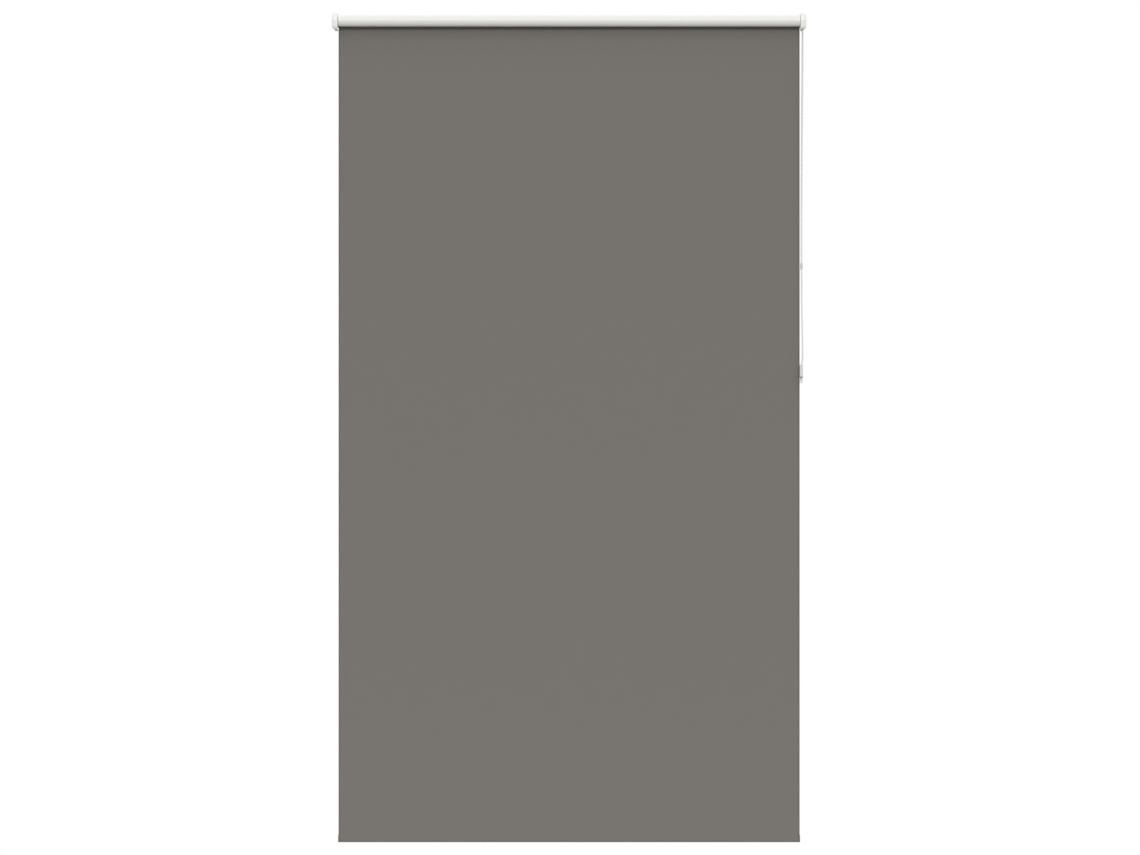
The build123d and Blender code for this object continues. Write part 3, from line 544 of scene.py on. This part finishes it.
panel_line = straight(panel_y, panel_high.z, hem_high.z, PANEL_ROWS)
panel_stations = np.linspace(panel_low.x, panel_high.x, PANEL_STATIONS)
hanging_cloth = cloth_strip("hanging_cloth", panel_line, panel_stations, MAP_START, slow_waves)
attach(hanging_cloth, "frame")
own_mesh(hanging_cloth)
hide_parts("fabric_panel")

# %% [markdown]
# ### The cloth on the tube
#
# The last quarter turn stays on the tube even when the blind is right down. Its line is an arc
# round the tube's axis, from the edge that is stuck down on the tape to where the cloth leaves the
# tube, at the back.

# %% Cloth on the tube
wrap_low, wrap_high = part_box("fabric_wrap")
tube_low, tube_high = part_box("roller_tube")
AXIS_Y = (tube_low.y + tube_high.y) / 2
wrap_r = wrap_high.y - AXIS_Y - CLOTH_T / 2
WRAP_END = math.radians(80)
WRAP_ROWS, WRAP_STATIONS = 40, 61
angle = np.linspace(WRAP_END, 0, WRAP_ROWS)
wrap_line = np.c_[AXIS_Y + wrap_r * np.cos(angle), wrap_r * np.sin(angle)]
wrap_stations = np.linspace(wrap_low.x, wrap_high.x, WRAP_STATIONS)
wound_cloth = cloth_strip("wound_cloth", wrap_line, wrap_stations, 0.0)
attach(wound_cloth, "roller")
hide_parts("fabric_wrap")

# %% [markdown]
# ### The hem
#
# The cloth's foot is turned up behind itself and welded into a pocket for the rail. Its line goes
# straight down in front, round the rail's foot in half an ellipse, up the back, over the rail's
# top and into the weld, where the two layers lie flat together. Arcs of about a millimetre join
# the straight runs, which stop a little short of them. The weld is pressed with a toothed wheel,
# which leaves a row of short dents: the front face is pushed back by six hundredths of a
# millimetre wherever a sine along the width is positive.

# %% Hem pocket
HEM_SEAM = 0.004  # height of the welded strip
HEM_FOOT = 0.007  # the pocket narrows to its foot over this height
FOOT_GAP, SHOULDER_GAP, CORNER_GAP = 0.001, 0.0011, 0.0003  # from a straight run to its arc
WELD_TOP_GAP = 0.0002  # the back layer ends just under the hem's top
HEM_STATIONS = 1170
SHOULDER_R = 0.0014
CORNER_R = 0.0006
DENT_PITCH = 0.006
DENT_DEPTH = 0.00006
DENT_REACH = 0.0006  # up and down from the weld's middle


def arc(centre_y, centre_z, radius, start, end, steps, tall=None):
    """Points on a circle, or on an ellipse so tall, between two angles in degrees from +Y to +Z."""
    turn = np.radians(np.linspace(start, end, steps))
    return np.c_[centre_y + radius * np.cos(turn), centre_z + (tall or radius) * np.sin(turn)]


front_y = hem_low.y + CLOTH_T / 2
back_y = hem_high.y - CLOTH_T / 2
foot_r = (back_y - front_y) / 2
foot_z = hem_low.z + HEM_FOOT
pocket_top = hem_high.z - HEM_SEAM - CLOTH_T / 2
weld_y = front_y + CLOTH_T
hem_line = np.r_[
    straight(front_y, hem_high.z, foot_z + FOOT_GAP, 20),
    arc(front_y + foot_r, foot_z, foot_r, 180, 360, 31, HEM_FOOT - CLOTH_T / 2),
    straight(back_y, foot_z + FOOT_GAP, pocket_top - SHOULDER_R - SHOULDER_GAP, 7),
    arc(back_y - SHOULDER_R, pocket_top - SHOULDER_R, SHOULDER_R, 0, 90, 8),
    arc(weld_y + CORNER_R, pocket_top + CORNER_R, CORNER_R, 270, 180, 7),
    straight(weld_y, pocket_top + CORNER_R + CORNER_GAP, hem_high.z - WELD_TOP_GAP, 6),
]


def weld_dents(x, z):
    """y shift: a narrow bell round the weld's middle, times the positive half of a sine along X."""
    centre = hem_high.z - HEM_SEAM / 2
    bell = np.exp(-(((z - centre) / DENT_REACH) ** 2))
    return DENT_DEPTH * bell * np.clip(np.sin(math.tau * x / DENT_PITCH) * 2, 0, 1)


hem_stations = np.linspace(hem_low.x, hem_high.x, HEM_STATIONS)
hem_pocket = cloth_strip(
    "hem_pocket", hem_line, hem_stations, panel_drop + MAP_START, weld_dents
)
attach(hem_pocket, "hem_rail")
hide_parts("fabric_hem")

# %% [markdown]
# The three cloth pieces are one length of cloth.

# %% [markdown]
# ## Tubes along a line
#
# The chain and the pin's spring are both a round section carried along a line. One function does
# it. At each stop a ring is set square to the line with two directions: X with its part along the
# line taken out, and the cross product of the line with that. Both ends are closed with strips of
# quads straight across the ring. Faces between two rings no wider than thin_r take the piece's
# second material.

# %% Tube along a line
def bent_tube(name, spine, along, radii, sides, thin_r=0.0):
    """Rings r (cos a S + sin a U), with S the unit X - (X.H) H and U = H x S for the heading H."""
    heading = np.gradient(spine, along, axis=0)
    heading /= np.linalg.norm(heading, axis=1, keepdims=True)
    sideways = np.array([1.0, 0, 0]) - heading * heading[:, :1]
    sideways /= np.linalg.norm(sideways, axis=1, keepdims=True)
    upright = np.cross(heading, sideways)
    ring = np.linspace(0, math.tau, sides, endpoint=False)
    points = spine[:, None, :] + radii[:, None, None] * (
        np.cos(ring)[None, :, None] * sideways[:, None, :]
        + np.sin(ring)[None, :, None] * upright[:, None, :]
    )
    uv = np.stack(np.broadcast_arrays(along[:, None], ring[None, :] * radii.max()), axis=-1)
    j = np.arange(sides // 2 - 1)
    cap = np.stack([j, j + 1, sides - 2 - j, sides - 1 - j], axis=-1)
    end_caps = np.r_[cap[:, ::-1], cap + (len(spine) - 1) * sides]
    thin = np.maximum(radii[:-1], radii[1:]) <= thin_r
    faces = np.r_[grid_faces(len(spine), sides, True), end_caps]
    index = np.r_[np.repeat(thin, sides), np.full(len(end_caps), thin_r > 0)]
    return build_mesh(name, points.reshape(-1, 3), faces, uv.reshape(-1, 2), index)


# %% [markdown]
# ## The bead chain
#
# A ball chain is a cord with beads moulded on it every 6 mm. It is a solid of revolution bent along
# the chain's line: the radius at each place is that of a 4.5 mm bead near a bead's middle and of
# the 1.2 mm cord between beads. The line is resampled at the profile's own steps by its length.
# Beads get only a few faces each, because there are about three hundred.

# %% Bead chain
BEAD_R = 0.00225
BEAD_PITCH = 0.006
CORD_R = 0.0006
BEAD_RINGS = 6
CHAIN_SIDES = 10

beads = int(chain_length // BEAD_PITCH)
waist = math.asin(CORD_R / BEAD_R)  # how far round a bead the cord meets it
turn = np.linspace(waist, math.pi - waist, BEAD_RINGS)
bead_steps = np.r_[-BEAD_PITCH / 2, -BEAD_R * np.cos(turn)]
bead_radii = np.r_[CORD_R, BEAD_R * np.sin(turn)]
lead = (chain_length - beads * BEAD_PITCH) / 2
stops = (
    lead + (np.arange(beads) + 0.5)[:, None] * BEAD_PITCH + bead_steps[None, :]
).ravel()
stops = np.r_[0, stops, chain_length]
radii = np.r_[CORD_R, np.tile(bead_radii, beads), CORD_R]
travelled = np.r_[0, chain_steps.cumsum()]
spine = np.stack([np.interp(stops, travelled, chain_line[:, k]) for k in range(3)], axis=-1)
ball_chain = bent_tube("ball_chain", spine, stops, radii, CHAIN_SIDES, CORD_R * 1.001)
ball_chain.data.materials.append(acetal)
ball_chain.data.materials.append(chain_cord_material)
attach(ball_chain, "frame")
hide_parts("bead_chain")
print("beads", beads)

# %% [markdown]
# ## The pin's spring
#
# The left plug hides a sprung pin. Pushed in, it shortens its spring by as much as it moves, so the
# spring is a piece of its own: a helix of even pitch round the tube's axis.

# %% Spring
COIL_WIRE_R = 0.0004
COIL_PITCH = 0.0024
COIL_STOPS, COIL_SIDES = 400, 12

spring_low, spring_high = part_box("idle_spring")
coil_r = (spring_high.z - spring_low.z) / 2 - COIL_WIRE_R
coil_x = np.linspace(spring_low.x + COIL_WIRE_R, spring_high.x - COIL_WIRE_R, COIL_STOPS)
coil_turn = math.tau * (coil_x - coil_x[0]) / COIL_PITCH
coil_line = np.c_[coil_x, AXIS_Y + coil_r * np.cos(coil_turn), coil_r * np.sin(coil_turn)]
coil_stops = coil_turn * math.hypot(coil_r, COIL_PITCH / math.tau)
coil_radii = np.full(COIL_STOPS, COIL_WIRE_R)
pin_spring = bent_tube("pin_spring", coil_line, coil_stops, coil_radii, COIL_SIDES)
pin_spring.data.materials.append(drawn_steel)
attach(pin_spring, "roller")
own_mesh(pin_spring)
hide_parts("idle_spring")

# %% [markdown]
# ## Light and floor
#
# A white sky gives soft light from everywhere. Two suns stand in front of the blind. The low,
# narrow one lights the cloth evenly from top to foot. The high one, a disc fifty-five degrees wide,
# brightens the top of the tube and drops the tube's soft shadow on the cloth. The floor is a plain
# pale sheet well under the blind, so that little of its light comes back up on the hem.

# %% Light and floor
SKY_LIGHT = 0.40
SUNS = (  # name, elevation and width in degrees, energy
    ("low_sun", 23.5, 10, 1.37),
    ("high_sun", 58, 55, 1.19),
)
FLOOR_Z = -2.6
FLOOR_HALF_X, FLOOR_HALF_Y = 2.5, 2

world = bpy.data.worlds.new("pale_studio")
bpy.context.scene.world = world
world.use_nodes = True
sky = world.node_tree
sky.nodes.clear()
seen = add_node(sky, "ShaderNodeBackground", Color=(1, 1, 1, 1), Strength=1.0)
lighting = add_node(sky, "ShaderNodeBackground", Color=(1, 1, 1, 1), Strength=SKY_LIGHT)
ray = add_node(sky, "ShaderNodeLightPath")
choose = add_node(
    sky, "ShaderNodeMixShader",
    {0: ray.outputs["Is Camera Ray"], 1: lighting.outputs[0], 2: seen.outputs[0]},
)
add_node(sky, "ShaderNodeOutputWorld", {0: choose.outputs[0]})

for sun_name, elevation, width, energy in SUNS:
    sun_data = bpy.data.lights.new(sun_name, "SUN")
    sun_data.energy = energy
    sun_data.angle = math.radians(width)
    sun = bpy.data.objects.new(sun_name, sun_data)
    sun.rotation_euler = (math.radians(90 - elevation), 0, 0)
    bpy.context.scene.collection.objects.link(sun)

floor_points = [
    (x * FLOOR_HALF_X, y * FLOOR_HALF_Y, FLOOR_Z) for x, y in ((-1, -1), (1, -1), (1, 1), (-1, 1))
]
floor_mesh = bpy.data.meshes.new("pale_floor")
floor_mesh.from_pydata(floor_points, [], [(0, 1, 2, 3)])
floor = bpy.data.objects.new("pale_floor", floor_mesh)
bpy.context.scene.collection.objects.link(floor)
floor.data.materials.append(
    grained("matt_studio_paper", "#CFCFCC", 0.9, 1.45, 0.002, 0.00002)
)
bpy.context.scene.view_settings.view_transform = "Standard"
